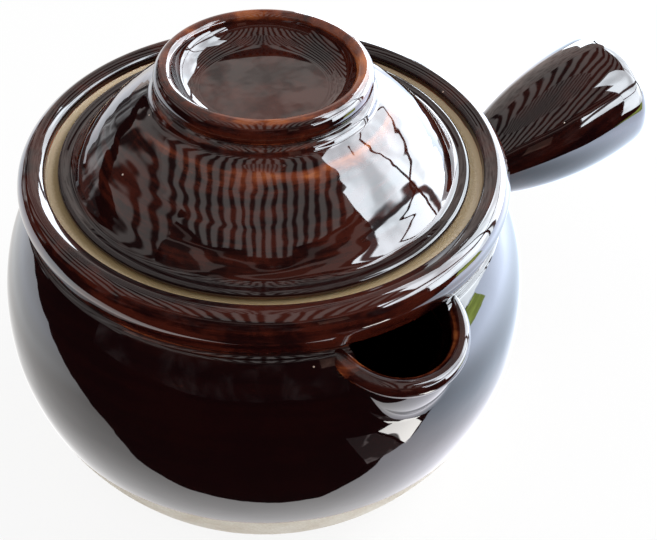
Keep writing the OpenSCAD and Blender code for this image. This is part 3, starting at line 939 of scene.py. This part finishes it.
ROOM_Z, TABLE_Z, LEAF_Z = 0.0002, 0.0005, 0.001
ROOM_OUTLINE = [(-1.6, -1.6), (1.6, -1.6), (1.6, 1.6), (-1.6, 1.6)]
TABLE_OUTLINE = [
    (-0.106, -0.110), (-0.010, -0.110), (0.030, -0.1075), (0.084, -0.118), (0.108, -0.107),
    (0.121, -0.105), (0.2, -0.1), (0.31, -0.08), (0.5, -0.06), (1.55, 0.0), (1.55, 1.55),
    (-1.2, 1.55), (-0.8, 0.45), (-0.57, 0.184), (-0.37, -0.022), (-0.216, -0.082),
    (-0.165, -0.104)]
PAPER_OUTLINE = [(0.100, -0.108), (0.128, -0.107), (0.150, -0.150), (0.112, -0.158)]
CLOTH_OUTLINE = [(0.07, -0.122), (0.098, -0.112), (0.108, -0.158), (0.085, -0.18)]
LEAF_OUTLINE = [(0.44, -0.085), (1.3, -0.12), (1.3, 0.12), (0.52, 0.05)]

# The table's light across the picture: x in metres, colour and strength
TABLE_LIGHT = [
    (-0.3, (0.92, 0.96, 1.04, 1), 1.9), (-0.2, (0.98, 1, 1.02, 1), 1.55),
    (-0.15, (1, 0.99, 0.98, 1), 1.15), (0.02, (1, 0.99, 1, 1), 1.8),
    (0.09, (0.93, 0.93, 1.02, 1), 2.4), (0.155, (0.76, 0.88, 1.05, 1), 2.05),
    (0.32, (0.72, 0.82, 1.02, 1), 6.5)]

# Screens of one light: name, bearings, heights and distance in metres
FAR, NEAR = 1.5, 1.45
WINDOW = [
    ("window", (24, 112), (-1, 47), 1.47), ("window_side", (112, 132), (19, 31), NEAR),
    ("window_low", (4, 24), (3, 27), NEAR), ("window_top", (84, 106), (47, 61), NEAR)]
DARK_ROOM = [
    ("window_bar", (24, 112), (20, 21.2), NEAR), ("window_post", (74, 75.5), (-1, 47), NEAR),
    ("left_front", (-110, -80), (-1, 18), FAR), ("left_back", (-80, -30), (12, 18), FAR)]

# Ramps by which slats and branches are drawn in a card's light, the level of its noise at which a
# patch begins, and the ramp of its clouds
SLAT_RAMP, BRANCH_RAMP, PATCH_LEVEL = (0.15, 0.75), (0.01, 0.05), 0.54
CLOUD_RAMP = (0.36, 0.6, 0.55, 1.0)

# Bands of light low over the front: heights and strength
FRONT_BANDS = [(30, 33, 0.1), (33, 35, 0.7), (35, 38, 0.06), (38, 39, 0.5), (39, 41, 0.04)]


def light_tree(name):
    """A material of light alone: its tree, its shader and a place in the camera's frame."""
    t = Tree(name)
    t.nodes.remove(t.shader)
    shine = t.nodes.new("ShaderNodeEmission")
    t.links.new(shine.outputs[0], t.surface)
    turn = t.nodes.new("ShaderNodeMapping")
    turn.inputs["Rotation"].default_value = (0, 0, math.radians(-CAMERA_AZIMUTH))
    t.put(t.coords(), turn.inputs["Vector"])
    return t, shine, turn.outputs["Vector"]


def glow(name, colour, strength, dark=1.0, slats=0, branches=0, patches=0, clouds=0, soft=0.06):
    """A card's light, dimmed to the share dark between its bright parts.

    In metres: slats is how far apart its slats are, branches how far apart thin dark winding lines,
    patches the size of bright patches (soft is how soft their edge is), and clouds the size of soft
    clouds that take away up to half of the light."""
    t, shine, place = light_tree(name)
    shine.inputs["Color"].default_value = colour
    low, level = dark * strength, strength
    if slats:
        level = t.ramp(t.lines(place, slats, 1.6, 1.0), *SLAT_RAMP, low, strength)
    if branches:
        level = t.ramp(t.lines(place, branches, 9.0, 2.0), *BRANCH_RAMP, low, strength)
    if patches:
        tall = t.nodes.new("ShaderNodeMapping")
        t.put(place, tall.inputs["Vector"])
        tall.inputs["Scale"].default_value = (1, 1, 0.5)
        spots = t.noise(tall.outputs["Vector"], patches / MM, 3, 0.6, 0.5)
        level = t.ramp(spots, PATCH_LEVEL - soft / 3, PATCH_LEVEL + soft, low, strength)
    if clouds:
        level = t.times(level, t.ramp(t.noise(place, clouds / MM, 2, 0.5), *CLOUD_RAMP))
    t.put(level, shine.inputs["Strength"])
    return t.mat


def gradient_glow(name, stops):
    """A card's light that changes to the picture's right: x, colour and strength at each stop."""
    t, shine, place = light_tree(name)
    x = t.split(place)[0]
    _, colour, strength = stops[0]
    for (x0, _, before), (x1, next_colour, after) in zip(stops, stops[1:]):
        share = t.ramp(x, x0, x1)
        colour = t.mix(share, colour, next_colour)
        strength = t.add(strength, t.times(share, after - before))
    t.put(colour, shine.inputs["Color"])
    t.put(strength, shine.inputs["Strength"])
    return t.mat


def reflected(name, points, faces, mat):
    """A mesh, given in the camera's frame, that shows in reflections alone and casts no shadow."""
    mesh = bpy.data.meshes.new(name)
    mesh.from_pydata([to_world(*p) for p in points], [], faces)
    mesh.materials.append(mat)
    obj = link(name, mesh)
    obj.visible_camera = obj.visible_diffuse = False
    obj.visible_shadow = obj.visible_volume_scatter = False
    obj.visible_glossy = True


def card(name, outline, z, mat):
    reflected(name, [(x, y, z) for x, y in outline], [list(range(len(outline)))], mat)


def screen(name, bearings, heights, mat, radius=FAR, steps=24):
    a = np.radians(np.linspace(*bearings, steps))[None, :]
    e = np.radians(np.linspace(*heights, steps))[:, None]
    ball = np.stack([np.sin(a) * np.cos(e), np.cos(a) * np.cos(e), np.sin(e) + 0 * a], -1)
    faces = grid_faces(steps, steps, False).tolist()
    reflected(name, (ball.reshape(-1, 3) * radius).tolist(), faces, mat)


def add_table(room):
    card("room_floor", ROOM_OUTLINE, ROOM_Z, room)
    card("table", TABLE_OUTLINE, TABLE_Z, gradient_glow("table", TABLE_LIGHT))
    card("paper", PAPER_OUTLINE, TABLE_Z,
         glow("paper", (1, 0.98, 0.95, 1), 10.0, dark=0.1, branches=0.05))
    card("cloth", CLOTH_OUTLINE, TABLE_Z,
         glow("cloth", (1, 0.85, 0.85, 1), 0.9, dark=0.2, patches=0.03))
    card("leaf", LEAF_OUTLINE, LEAF_Z,
         glow("leaf", (0.52, 0.68, 0.16, 1), 6.0, dark=0.5, patches=0.2, soft=0.2))


def add_window_and_ceiling():
    window = glow("window", (0.86, 0.93, 1.0, 1), 17, dark=0.03, branches=0.6, clouds=0.6)
    for name, bearings, heights, radius in WINDOW:
        screen(name, bearings, heights, window, radius)
    screen("ceiling", (-180, 180), (41, 70),
           glow("ceiling", (1.0, 0.95, 0.92, 1), 1.1, dark=0.06, slats=0.13), steps=64)
    screen("ceiling_top", (-180, 180), (70, 90),
           glow("ceiling_top", (1.0, 0.93, 0.9, 1), 0.9, dark=0.2, slats=0.055), steps=64)


def add_room(room):
    for name, bearings, heights, radius in DARK_ROOM:
        screen(name, bearings, heights, room, radius)
    screen("front", (112, 250), (-1, 30),
           glow("front", (1, 0.85, 0.85, 1), 0.3, dark=0.08, patches=0.3, soft=0.3))
    screen("shelf", (146, 158), (15, 27),
           glow("shelf", (1, 0.62, 0.5, 1), 1.4, dark=0.3, patches=0.2, soft=0.2), NEAR)
    for low, high, strength in FRONT_BANDS:
        name = f"front_{low}"
        screen(name, (112, 240), (low, high), glow(name, (1.0, 0.8, 0.75, 1), strength))
    screen("left", (-80, -30), (-1, 12),
           glow("left", (0.95, 0.98, 1, 1), 2.8, dark=0.03, patches=0.24, soft=0.3))
    screen("left_high", (-120, -30), (18, 41),
           glow("left_high", (1.0, 0.93, 0.9, 1), 0.9, dark=0.06, slats=0.13), 1.48)
    screen("back", (-30, 24), (-1, 41), glow("back", (1.0, 0.89, 0.84, 1), 1.2, clouds=0.06))


# The scene

bpy.context.scene.view_settings.view_transform = "Standard"
add_camera()
add_world()
add_stage()
dark_room = glow("dark_room", (0.5, 0.42, 0.4, 1), 0.03)
add_table(dark_room)
add_window_and_ceiling()
add_room(dark_room)
add_key()

glaze = glaze_material()
body = build_body()
spout = build_spout()
handle = build_handle()
lid = build_lid()
for piece in (body, spout, handle, lid):
    piece.data.materials.append(glaze)
    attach(piece, "root")
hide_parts("pot")
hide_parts("lid")
